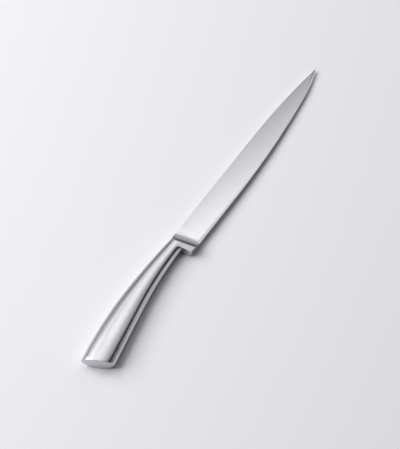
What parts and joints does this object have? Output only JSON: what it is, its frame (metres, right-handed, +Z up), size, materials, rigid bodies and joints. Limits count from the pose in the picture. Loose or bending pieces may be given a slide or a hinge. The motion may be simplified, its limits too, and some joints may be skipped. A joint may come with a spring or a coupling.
{
  "type": "carving knife",
  "caption": "All-steel carving knife: long slim tapered blade forged together with its coved bolster and chin, on a hollow steel handle that swells to a slanted butt.",
  "frame": {"origin": "centre of the bounding box in X and Y, at its lowest level in Z", "axes": "+X from the butt to the tip, +Y from the cutting edge to the spine, +Z up, square to the blade's mid-plane and out of the right side as held"},
  "size_m": [0.3394, 0.0314, 0.0152],
  "materials": {
    "blade_steel": "fine satin ground, brightest along the edge",
    "handle_steel": "satin polished, welds ground flush",
    "weight_iron": "raw casting",
    "filler_cement": "dull, poured"
  },
  "bodies": {
    "root": {"blade": "blade_steel", "handle_shell_right": "handle_steel", "handle_shell_left": "handle_steel", "butt_cap": "handle_steel", "balance_weight": "weight_iron", "handle_filler": "filler_cement"}
  },
  "joints": []
}
